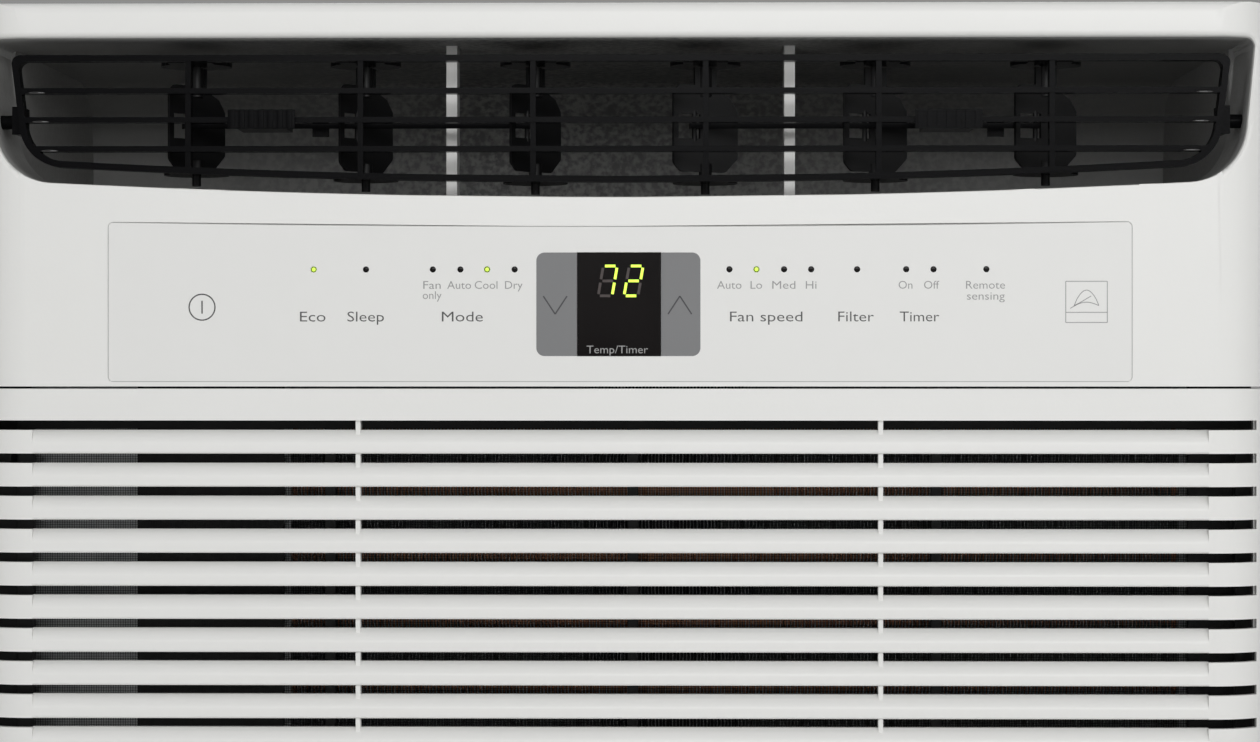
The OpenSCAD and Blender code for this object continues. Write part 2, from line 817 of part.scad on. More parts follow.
module capacitor() {
  y = frame_y + 50;
  color([0.55, 0.56, 0.57])
    union() {
      translate([(box_x0 + box_x1) / 2, y, 60])
        cylinder(h = 78, r = 17);
      translate([(box_x0 + box_x1) / 2, y, 136])
        cylinder(h = 3, r = 17.6);
      for (s = [-1, 1])
        box((box_x0 + box_x1) / 2 - 0.4, (box_x0 + box_x1) / 2 + 0.4, y + s * 7 - 3,
            y + s * 7 + 3, 138, 148);
      box((box_x0 + box_x1) / 2 + 10, box_x1 - sheet, y - 6, y + 6, 80, 92);
    }
}

// Housing that wraps the blower wheel and opens upward
module scroll_plan(n) {
  m = 40;
  grow = 26;
  base = wheel_r + 9 - n;
  union() {
    polygon([for (i = [0:m])
      let (a = 170 + 360 * i / m, r = base + grow * i / m)
      [fan_x + r * cos(a), fan_z + r * sin(a)]]);
    polygon([[fan_x - 56 + n, fan_z + 20], [fan_x + 116 - n, fan_z - 10],
             [fan_x + 116 - n, mouth_z0 + (n > 0 ? 9 : -3)],
             [fan_x - 56 + n, mouth_z0 + (n > 0 ? 9 : -3)]]);
  }
}

module blower_scroll() {
  t = 3;
  color([0.13, 0.13, 0.14])
    difference() {
      xz(scroll_y0, scroll_y1)
        scroll_plan(0);
      xz(scroll_y0 + t, scroll_y1 - t)
        scroll_plan(t);
      rod_y(fan_x, fan_z, wheel_r - 8, scroll_y0 - 1, scroll_y0 + t + 1);
      rod_y(fan_x, fan_z, 14, scroll_y1 - t - 1, scroll_y1 + 1);
    }
}

module blower_wheel() {
  y0 = (scroll_y0 + scroll_y1 - wheel_w) / 2;
  y1 = y0 + wheel_w;
  n = 36;
  color([0.1, 0.1, 0.11])
    difference() {
      union() {
        difference() {
          rod_y(fan_x, fan_z, wheel_r, y0, y0 + 2.4);
          rod_y(fan_x, fan_z, wheel_r - 13, y0 - 1, y0 + 3);
        }
        rod_y(fan_x, fan_z, wheel_r, y1 - 2.4, y1);
        rod_y(fan_x, fan_z, 13, y1 - 34, y1);
        for (i = [0:n - 1])
          translate([fan_x, 0, fan_z])
            rotate([0, i * 360 / n, 0])
              translate([wheel_r - 6.5, 0, 0])
                rotate([0, 28, 0])
                  box(-5.6, 5.6, y0 + 1, y1 - 1, -0.7, 0.7);
      }
      rod_y(fan_x, fan_z, shaft_r, y0 - 2, y1 + 2);
    }
}

module fan_shaft() {
  y0 = (scroll_y0 + scroll_y1 - wheel_w) / 2;
  color(steel)
    rod_y(fan_x, fan_z, shaft_r, y0 + wheel_w - 36, fan_y1 + 8);
}

module fan_motor() {
  color([0.5, 0.51, 0.52])
    difference() {
      union() {
        rod_y(fan_x, fan_z, motor_r, motor_y0 + 8, motor_y1 - 8);
        rod_y(fan_x, fan_z, motor_r - 7, motor_y0, motor_y1);
        rod_y(fan_x, fan_z, 13, motor_y0 - 6, motor_y1 + 6);
      }
      rod_y(fan_x, fan_z, shaft_r + run_fit, motor_y0 - 10, motor_y1 + 10);
    }
}

module motor_bracket() {
  color(steel)
    difference() {
      union() {
        for (y = [motor_y0 + 12, motor_y1 - 14])
          xz(y, y + 2)
            polygon([[fan_x - 62, 14], [fan_x + 62, 14], [fan_x + 30, fan_z - 10],
                     [fan_x - 30, fan_z - 10]]);
        box(fan_x - 62, fan_x + 62, motor_y0, motor_y1, 12, 14.01);
        for (s = [-1, 1])
          box(fan_x + s * 56 - 6, fan_x + s * 56 + 6, motor_y0, motor_y1, 1.5, 13);
      }
      rod_y(fan_x, fan_z, motor_r, motor_y0 - 1, motor_y1 + 1);
      for (y = [motor_y0 + 12, motor_y1 - 14])
        rod_y(fan_x, 70, 22, y - 1, y + 3);
    }
}

module bulkhead() {
  color(steel)
    difference() {
      union() {
        box(-cab_half + 3, cab_half - 3, bulk_y, bulk_y + sheet, 1.5, cab_z1 - 3);
        box(-cab_half + 3, cab_half - 3, bulk_y, bulk_y + 12, 1.5, 1.5 + sheet);
      }
      rod_y(fan_x, fan_z, 22, bulk_y - 1, bulk_y + 3);
      rod_y(comp_x - 10, line_z, 9, bulk_y - 1, bulk_y + 3);
      rod_y(-half_w + 21, 60, 6, bulk_y - 1, bulk_y + 3);
    }
}

// ---- Outdoor side ----

module condenser_fan() {
  n = 5;
  mid = (fan_y0 + fan_y1) / 2;
  color([0.12, 0.12, 0.13])
    difference() {
      union() {
        rod_y(fan_x, fan_z, 26, mid - 14, mid + 14);
        intersection() {
          union()
            for (i = [0:n - 1])
              translate([fan_x, mid, fan_z])
                rotate([0, i * 360 / n, 0])
                  rotate([28, 0, 0])
                    box(20, fan_r - 1, -1.2, 1.2, -34, 34);
          rod_y(fan_x, fan_z, fan_r - 2, mid - 18, mid + 18);
        }
        difference() {
          rod_y(fan_x, fan_z, fan_r, mid - 5, mid + 5);
          rod_y(fan_x, fan_z, fan_r - 4, mid - 6, mid + 6);
        }
      }
      rod_y(fan_x, fan_z, shaft_r, fan_y0 - 10, fan_y1 + 10);
    }
}

module condenser_shroud() {
  x0 = cond_x0 - 6;
  x1 = half_w - 12;
  z0 = 1.5;
  z1 = body_h - 22;
  y0 = fan_y0 + 22;
  y1 = cond_y0 - 2;
  color([0.16, 0.16, 0.17])
    difference() {
      box(x0, x1, y0, y1, z0, z1);
      box(x0 + 2, x1 - 2, y0 + 2.5, y1 + 1, z0 + 2, z1 - 2);
      rod_y(fan_x, fan_z, fan_r + 6, y0 - 1, y0 + 4);
    }
}

module cond_fins() {
  color(steel)
    coil_fins(cond_x0 + 1, cond_x1 - 1, cond_y0, cond_d, cond_z0, cond_z1, 100);
}

module cond_tubes() {
  color(copper)
    coil_tubes(cond_x0, cond_x1, [cond_y0 + cond_d * 0.25, cond_y0 + cond_d * 0.75],
               cond_z0 + 4, cond_z1 - 4, cond_rows);
}

module cond_plates() {
  color(steel) {
    end_plate(cond_x0, -1, cond_y0, cond_d, cond_z0, cond_z1, cond_rows);
    end_plate(cond_x1, 1, cond_y0, cond_d, cond_z0, cond_z1, cond_rows);
    for (x = [cond_x0, cond_x1])
      box(x - 8, x + 8, cond_y0, cond_y0 + cond_d, 1.5, cond_z0);
  }
}

module compressor() {
  dome = 26;
  color([0.09, 0.09, 0.1])
    union() {
      translate([comp_x, comp_y, comp_z0 + dome])
        cylinder(h = comp_h - 2 * dome, r = comp_r);
      for (s = [0, 1])
        translate([comp_x, comp_y, s == 0 ? comp_z0 + dome : comp_z0 + comp_h - dome])
          mirror([0, 0, 1 - s])
            rotate_extrude()
              intersection() {
                translate([comp_r - dome, 0])
                  circle(dome);
                square([comp_r, dome]);
              }
      for (s = [0, 1])
        translate([comp_x, comp_y, s == 0 ? comp_z0 : comp_z0 + comp_h - dome])
          cylinder(h = dome, r = comp_r - dome + 0.5);
      translate([comp_x, comp_y, comp_z0 + 4])
        linear_extrude(3)
          union() {
            circle(comp_r - 8);
            for (a = [90, 210, 330])
              rotate(a)
                translate([0, -9])
                  square([comp_r + 14, 18]);
          }
      // terminal cover
      box(comp_x - 18, comp_x + 18, comp_y - 12, comp_y + 30, comp_z0 + comp_h - 4,
          comp_z0 + comp_h + 18);
    }
}

module comp_mounts() {
  color([0.1, 0.1, 0.1])
    for (a = [90, 210, 330])
      translate([comp_x + (comp_r + 5) * cos(a), comp_y + (comp_r + 5) * sin(a), 0])
        union() {
          translate([0, 0, 1.5])
            cylinder(h = comp_z0 + 2.5, r = 8);
          translate([0, 0, comp_z0 + 7])
            cylinder(h = 3, r = 8);
          translate([0, 0, comp_z0 + 10])
            cylinder(h = 5, r = 4.5, $fn = 6);
        }
}

module accumulator() {
  z0 = comp_z0 + 60;
  color([0.09, 0.09, 0.1])
    union() {
      translate([acc_x, comp_y, z0])
        cylinder(h = 120, r = 24);
      translate([acc_x, comp_y, z0 - 10])
        cylinder(h = 140, r = 12);
      // outlet that bends into the compressor
      rod_x(comp_y, z0 - 14, 6, comp_x + comp_r - 8, acc_x);
      translate([acc_x, comp_y, z0 - 14])
        cylinder(h = 10, r = 6);
      translate([acc_x, comp_y, z0 - 14])
        sphere(6);
      box(comp_x + comp_r - 2, acc_x - 20, comp_y - 8, comp_y + 8, z0 + 50, z0 + 54);
    }
}

// Round tube that follows a list of points
module pipe(points, r) {
  for (i = [0:len(points) - 2]) {
    a = points[i];
    b = points[i + 1];
    d = b - a;
    h = norm(d);
    translate(a)
      rotate([0, acos(d[2] / h), atan2(d[1], d[0])])
        cylinder(h = h, r = r);
    if (i > 0)
      translate(a)
        sphere(r + 0.15);
  }
}

module suction_line() {
  x = comp_x - 10;
  z = line_z;
  y = evap_y0 + evap_d * 0.75;
  zt = row_z(evap_z0, evap_z1, evap_rows, evap_rows - 1);
  color(copper)
    pipe([[evap_x0 - 3.1, y, zt], [x, y, zt], [x, scroll_y0 + 20, zt], [x, scroll_y0 + 20, z],
          [x, comp_y - 20, z], [acc_x, comp_y, z], [acc_x, comp_y, comp_z0 + 190.1]], 5);
}

module discharge_line() {
  x = -half_w + 25;
  y = cond_y0 + cond_d * 0.25;
  zt = row_z(cond_z0, cond_z1, cond_rows, cond_rows - 1);
  z = comp_z0 + comp_h + 30;
  color(copper)
    pipe([[comp_x - 26, comp_y - 20, comp_z0 + comp_h - 8], [comp_x - 26, comp_y - 20, z],
          [x, comp_y - 20, z], [x, comp_y + 60, zt], [x, y, zt], [cond_x0 - 3.1, y, zt]], 4);
}

module liquid_line() {
  x = -half_w + 21;
  y = cond_y0 + cond_d * 0.75;
  zc = row_z(cond_z0, cond_z1, cond_rows, 0);
  ze = row_z(evap_z0, evap_z1, evap_rows, 0);
  ye = evap_y0 + evap_d * 0.25;
  color(copper)
    union() {
      pipe([[cond_x0 - 3.1, y, zc], [x, y, zc], [x, y, 60], [x, scroll_y0 + 45, 60],
            [box_x1 + 14, scroll_y0 + 45, 60], [box_x1 + 14, ye, 60], [box_x1 + 14, ye, ze],
            [evap_x0 - 3.1, ye, ze]], 2.5);
      rod_y(x, 60, 9, comp_y + 70, comp_y + 130);
    }
}

// ---- Cabinet ----

module base_pan() {
  x = cab_half - sheet - 0.2;
  y0 = frame_y + 3.2;
  y1 = cab_y1 - sheet - 0.2;
  color(steel)
    difference() {
      box(-x, x, y0, y1, 0, pan_h);
      box(-x + sheet, x - sheet, y0 + sheet, y1 - sheet, 1.5, pan_h + 1);
      for (s = [-1, 1], y = [bulk_y - 60, bulk_y + 60])
        translate([s * (half_w - 60), y, -1])
          cylinder(h = 4, r = 3);
      rod_y(60, 10, 6, y1 - 5, y1 + 1);
      for (s = [-1, 1], y = [cab_y0 + 40, cab_y1 - 40])
        rod_x(y, 16, screw_r, s > 0 ? x - 5 : -x - 1, s > 0 ? x + 1 : -x + 5);
    }
}

module vents(n, y0, y1, z) {
  for (k = [0:n - 1])
    translate([0, y0 + (y1 - y0) * k / (n - 1), z])
      children();
}

module cabinet() {
  x = cab_half;
  color([0.8, 0.8, 0.78])
    difference() {
      box(-x, x, cab_y0, cab_y1, cab_z0, cab_z1);
      box(-x + sheet, x - sheet, cab_y0 - 1, cab_y1 - sheet, cab_z0 - 1, cab_z1 - sheet);
      box(-x + 16, x - 16, cab_y1 - 5, cab_y1 + 1, cab_z0 - 1, cab_z1 - 16);
      // breathing slots for the outdoor fan
      vents(12, bulk_y + 30, fan_y0 + 10, 0)
        box(-x - 1, x + 1, -2, 2, 70, body_h - 110);
      vents(12, bulk_y + 30, fan_y0 + 10, 0)
        box(-half_w + 60, half_w - 60, -2, 2, cab_z1 - 3, cab_z1 + 1);
      for (s = [-1, 1], z = [80, body_h - 48])
        rod_x(bulk_y - 40, z, screw_r, s > 0 ? x - 5 : -x - 1, s > 0 ? x + 1 : -x + 5);
      for (s = [-1, 1])
        translate([s * 140 * layout, bulk_y - 40, cab_z1 - 5])
          cylinder(h = 8, r = screw_r);
      for (s = [-1, 1], y = [cab_y0 + 40, cab_y1 - 40])
        rod_x(y, 16, screw_r, s > 0 ? x - 5 : -x - 1, s > 0 ? x + 1 : -x + 5);
    }
}

module rear_guard() {
  r = 1.6;
  x = cab_half - 10;
  z0 = pan_h + 6;
  z1 = cab_z1 - 10;
  n = 22;
  color([0.3, 0.3, 0.31])
    union() {
      for (k = [0:n])
        rod_x(yb - r, z0 + (z1 - z0) * k / n, r, -x, x);
      for (k = [-3:3])
        translate([k * x / 3.02, yb - 2.7 * r, z0 - 1])
          cylinder(h = z1 - z0 + 2, r = r);
      for (s = [-1, 1], z = [z0 + 20, z1 - 20])
        box(s * (x - 2) - 5, s * (x - 2) + 5, cab_y1 + 0.01, yb - 2 * r, z - 6, z + 6);
    }
}

module cord_gland() {
  color(black)
    difference() {
      union() {
        rod_x(gland_y, gland_z, gland_r + 1.5, cab_half - 6, half_w - 0.2);
        rod_x(gland_y, gland_z, gland_r + 2, cab_half - 6, shell_in - 0.1);
      }
      rod_x(gland_y, gland_z, gland_r, cab_half - 10, half_w + 1);
    }
}

module screw_x(s, x, y, z) {
  mirror([s > 0 ? 0 : 1, 0, 0])
    union() {
      rod_x(y, z, screw_r - 0.1, x - 6, x + 0.6);
      translate([x + 0.01, y, z])
        rotate([0, 90, 0])
          cylinder(h = 0.6, r = 5);
      translate([x + 0.3, y, z])
        rotate([0, 90, 0])
          cylinder(h = 2, r = 3.4, $fn = 6);
    }
}

module cabinet_screws() {
  color(steel)
    for (s = [-1, 1])
      for (y = [cab_y0 + 40, cab_y1 - 40])
        screw_x(s, cab_half, y, 16);
}

module drain_plug() {
  y = cab_y1 - sheet - 0.2;
  color(black)
    union() {
      rod_y(60, 10, 5.9, y - 6, y + 2);
      rod_y(60, 10, 8.5, y + 0.01, y + 3);
    }
}

front_bezel();
intake_grille();
front_frame();
discharge_duct();
louver_frame();
vane(1);  // vane_1
vane(2);  // vane_2
vane(3);  // vane_3
vane(4);  // vane_4
vane(5);  // vane_5
vane(6);  // vane_6
link(1, -127.8 * layout, -108.6 * layout);  // link_left
link(4, 117.5 * layout, 136 * layout);  // link_right
control_overlay();
display_window();
display_module();
led_lenses();
control_pcb();
key_tab(0);  // key_power
key_tab(1);  // key_eco
key_tab(2);  // key_sleep
key_tab(3);  // key_mode
key_tab(4);  // key_down
key_tab(5);  // key_up
key_tab(6);  // key_fan
key_tab(7);  // key_filter
key_tab(8);  // key_timer
filter_frame();
filter_mesh();
evap_fins();
evap_tubes();
evap_plates();
drain_pan();
temp_sensor();
control_box();
box_cover();
capacitor();
blower_scroll();
blower_wheel();
fan_shaft();
fan_motor();
motor_bracket();
bulkhead();
condenser_fan();
condenser_shroud();
cond_fins();
cond_tubes();
cond_plates();
compressor();
accumulator();
comp_mounts();
suction_line();
discharge_line();
liquid_line();
base_pan();
cabinet();
rear_guard();
cord_gland();
cabinet_screws();
drain_plug();
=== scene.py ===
import json
import math
import bpy
from mathutils import Matrix, Vector

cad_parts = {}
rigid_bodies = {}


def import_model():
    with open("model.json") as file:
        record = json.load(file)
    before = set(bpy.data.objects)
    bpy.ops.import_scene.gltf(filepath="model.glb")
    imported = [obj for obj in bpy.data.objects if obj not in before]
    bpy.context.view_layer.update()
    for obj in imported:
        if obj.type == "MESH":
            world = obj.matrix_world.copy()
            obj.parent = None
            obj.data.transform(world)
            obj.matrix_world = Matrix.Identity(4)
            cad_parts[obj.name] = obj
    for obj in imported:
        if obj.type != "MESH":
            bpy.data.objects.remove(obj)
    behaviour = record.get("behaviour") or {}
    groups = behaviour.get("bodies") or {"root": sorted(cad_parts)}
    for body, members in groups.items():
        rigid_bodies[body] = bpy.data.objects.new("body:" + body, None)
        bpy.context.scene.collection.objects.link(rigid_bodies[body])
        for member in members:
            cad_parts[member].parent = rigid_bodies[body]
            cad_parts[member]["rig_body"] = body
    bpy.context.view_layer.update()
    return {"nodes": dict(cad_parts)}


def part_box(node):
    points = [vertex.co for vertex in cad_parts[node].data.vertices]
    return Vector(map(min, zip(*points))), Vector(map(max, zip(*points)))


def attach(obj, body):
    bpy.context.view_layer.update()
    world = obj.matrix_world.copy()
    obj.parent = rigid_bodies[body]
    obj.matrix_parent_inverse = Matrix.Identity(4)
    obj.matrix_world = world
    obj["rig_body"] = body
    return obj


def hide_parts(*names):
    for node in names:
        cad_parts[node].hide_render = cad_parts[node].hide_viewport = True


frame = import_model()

MM = 0.001

# Places that the CAD sets
face_low, face_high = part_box("front_bezel")
film_low, film_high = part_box("control_overlay")
glass_low, glass_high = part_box("display_window")
lens_low, lens_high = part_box("led_lenses")
fin_low, fin_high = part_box("evap_fins")
cond_low, cond_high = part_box("cond_fins")
net_low, net_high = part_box("filter_mesh")
front_y = face_low.y
film_y = film_low.y
HALF_W = face_high.x
CORNER_R = 24 * MM
BAR_PITCH = 10.4 * MM
FLAT_TURN = math.radians(0.6)     # faces that turn less than this are merged
EXACT_TURN = math.radians(0.05)   # the same, on pieces whose shallow curves are kept


# ---------------------------------------------------------------- camera, light, floor

def look(obj, target):
    obj.rotation_euler = (Vector(target) - obj.location).to_track_quat("-Z", "Y").to_euler()


def add_camera():
    data = bpy.data.cameras.new("front_view")
    data.lens = 88.5
    data.sensor_width = 36
    camera = bpy.data.objects.new("front_view", data)
    bpy.context.scene.collection.objects.link(camera)
    camera.location = (0.0185, front_y - 1.1, 0.2367)
    look(camera, (0.0039, front_y, 0.2367))
    bpy.context.scene.camera = camera


def soft_light(name, place, target, width, height, power, tone=(1, 1, 1)):
    data = bpy.data.lights.new(name, "AREA")
    data.shape = "RECTANGLE"
    data.size = width
    data.size_y = height
    data.energy = power
    data.color = tone
    lamp = bpy.data.objects.new(name, data)
    bpy.context.scene.collection.objects.link(lamp)
    lamp.location = place
    look(lamp, target)


def add_room():
    soft_light("front_softbox", (0.3, -2.6, 0.85), (0, -0.2, 0.25), 1.5, 0.6, 21)
    soft_light("overhead_softbox", (0.2, -1.0, 2.3), (0, -0.2, 0.2), 2.4, 1.6, 5)
    soft_light("right_softbox", (1.9, -2.2, 0.8), (0, -0.2, 0.2), 1.6, 1.8, 10)
    soft_light("left_softbox", (-2.0, -2.2, 0.7), (0, -0.2, 0.2), 1.4, 1.6, 6)
    soft_light("rear_softbox", (0.4, 2.4, 1.6), (0, 0.2, 0.2), 2.0, 1.4, 14)
    world = bpy.data.worlds.new("pale_room")
    bpy.context.scene.world = world
    world.use_nodes = True
    world.node_tree.nodes["Background"].inputs["Color"].default_value = (1, 1, 0.995, 1)
    world.node_tree.nodes["Background"].inputs["Strength"].default_value = 0.27
    bpy.ops.object.select_all(action="DESELECT")
    bpy.ops.mesh.primitive_plane_add(size=9, location=(0, 0, -0.0002))
    floor = bpy.context.object
    floor.name = "studio_floor"
    finish = Finish("pale_floor", {"Roughness": 0.85})
    finish.colour(finish.mix(finish.noise(3, 2), (0.80, 0.80, 0.79), (0.84, 0.84, 0.83)))
    dress(floor, finish)


# ---------------------------------------------------------------- finishes

class Value:
    """A number that varies over a surface; sums on it add Math nodes."""

    def __init__(self, finish, socket):
        self.finish = finish
        self.socket = socket

    def sum(self, operation, first, second):
        node = self.finish.node("Math", {"operation": operation}, {0: first, 1: second})
        return Value(self.finish, node.outputs[0])

    def __add__(self, other):
        return self.sum("ADD", self, other)

    __radd__ = __add__

    def __sub__(self, other):
        return self.sum("SUBTRACT", self, other)

    def __rsub__(self, other):
        return self.sum("SUBTRACT", other, self)

    def __mul__(self, other):
        return self.sum("MULTIPLY", self, other)

    __rmul__ = __mul__

    def __truediv__(self, other):
        return self.sum("DIVIDE", self, other)

    def __rtruediv__(self, other):
        return self.sum("DIVIDE", other, self)

    def __gt__(self, other):
        return self.sum("GREATER_THAN", self, other)

    def __pow__(self, other):
        return self.sum("POWER", self, other)


class Finish:
    """One surface finish: a principled shader and the nodes that vary it."""

    def __init__(self, name, fixed=None):
        self.material = bpy.data.materials.new(name)
        self.material.use_nodes = True
        self.tree = self.material.node_tree
        self.shader = self.tree.nodes["Principled BSDF"]
        for socket, value in (fixed or {}).items():
            self.feed(self.shader.inputs[socket], value)

    def feed(self, socket, value):
        if isinstance(value, Value):
            self.tree.links.new(value.socket, socket)
        elif isinstance(value, bpy.types.NodeSocket):
            self.tree.links.new(value, socket)
        elif isinstance(value, tuple) and socket.type == "RGBA" and len(value) == 3:
            socket.default_value = (*value, 1)
        else:
            socket.default_value = value

    def node(self, kind, settings=None, sockets=None):
        """Adds a node: its settings first, then what its sockets take."""
        made = self.tree.nodes.new("ShaderNode" + kind)
        for key, value in (settings or {}).items():
            if key == "stops":
                ramp = made.color_ramp
                while len(ramp.elements) < len(value):
                    ramp.elements.new(0.5)
                for stop, (place, shade) in zip(ramp.elements, value):
                    stop.position = place
                    stop.color = (*shade, 1) if isinstance(shade, tuple) else (shade, shade, shade, 1)
            else:
                setattr(made, key, value)
        for key, value in (sockets or {}).items():
            self.feed(made.inputs[key], value)
        return made

    def place(self, stretch=(1, 1, 1)):
        coords = self.node("TexCoord").outputs["Object"]
        if stretch == (1, 1, 1):
            return coords
        return self.node("Mapping", None, {"Vector": coords, "Scale": stretch}).outputs["Vector"]

    def noise(self, scale, detail=3, stretch=(1, 1, 1)):
        made = self.node("TexNoise", None,
                         {"Vector": self.place(stretch), "Scale": scale, "Detail": detail})
        return Value(self, made.outputs["Fac"])

    def cells(self, scale, stretch=(1, 1, 1)):
        made = self.node("TexVoronoi", None, {"Vector": self.place(stretch), "Scale": scale})
        return Value(self, made.outputs["Distance"])

    def along(self, axis):
        split = self.node("SeparateXYZ", None, {0: self.place()})
        return Value(self, split.outputs["XYZ".index(axis)])

    def ramp(self, value, stops):
        return self.node("ValToRGB", {"stops": stops}, {0: value}).outputs["Color"]

    def mix(self, factor, first, second):
        made = self.node("Mix", {"data_type": "RGBA"}, {0: factor, 6: first, 7: second})
        return made.outputs[2]

    def colour(self, value):
        self.feed(self.shader.inputs["Base Color"], value)

    def rough(self, value):
        self.feed(self.shader.inputs["Roughness"], value)

    def relief(self, height, depth, strength=1.0):
        bump = self.node("Bump", None, {"Strength": strength, "Distance": depth, "Height": height})
        self.feed(self.shader.inputs["Normal"], bump.outputs["Normal"])
        return self


def plastic(name, dark, light, rough, grain=900, depth=0.00002, swing=0.12, fixed=None):
    """Moulded plastic: faint flow clouds, fine grain and rubbed patches."""
    f = Finish(name, {"Specular IOR Level": 0.45, **(fixed or {})})
    clouds = f.noise(9, 4)
    rubbed = f.noise(60, 5)
    f.colour(f.mix(clouds * 0.7 + rubbed * 0.3, dark, light))
    f.rough(rough + (f.noise(25, 4) - 0.5) * swing)
    return f.relief(f.noise(grain, 2) + f.noise(grain * 0.3, 2) * 0.5, depth)


def metal(name, dark, light, rough, stretch=(1, 1, 1), depth=0.00003, swing=0.18, metallic=1.0):
    """Bare metal: drawn lines, stains and dull spots."""
    f = Finish(name, {"Metallic": metallic})
    lines = f.noise(220, 4, stretch)
    stains = f.noise(14, 5)
    f.colour(f.mix(stains * 0.6 + lines * 0.4, dark, light))
    f.rough(rough + (stains - 0.5) * swing + (lines - 0.5) * swing * 0.5)
    return f.relief(lines, depth)


def zinc(name):
    """Galvanised sheet with its crystal pattern."""
    f = Finish(name, {"Metallic": 0.9})
    flakes = f.cells(110)
    stains = f.noise(11, 5)
    f.colour(f.ramp(flakes * 0.8 + stains * 0.5, [(0.25, (0.42, 0.43, 0.44)), (0.8, (0.66, 0.67, 0.68))]))
    f.rough(0.36 + flakes * 0.18 + (stains - 0.5) * 0.15)
    return f.relief(flakes, 0.00003)


def paint(name, dark, light, rough, peel=0.00003, fixed=None):
    """Sprayed enamel with orange peel and dust."""
    f = Finish(name, {"Specular IOR Level": 0.5, **(fixed or {})})
    dust = f.noise(7, 5)
    f.colour(f.mix(dust, dark, light))
    f.rough(rough + (dust - 0.5) * 0.15)
    return f.relief(f.noise(320, 2), peel)


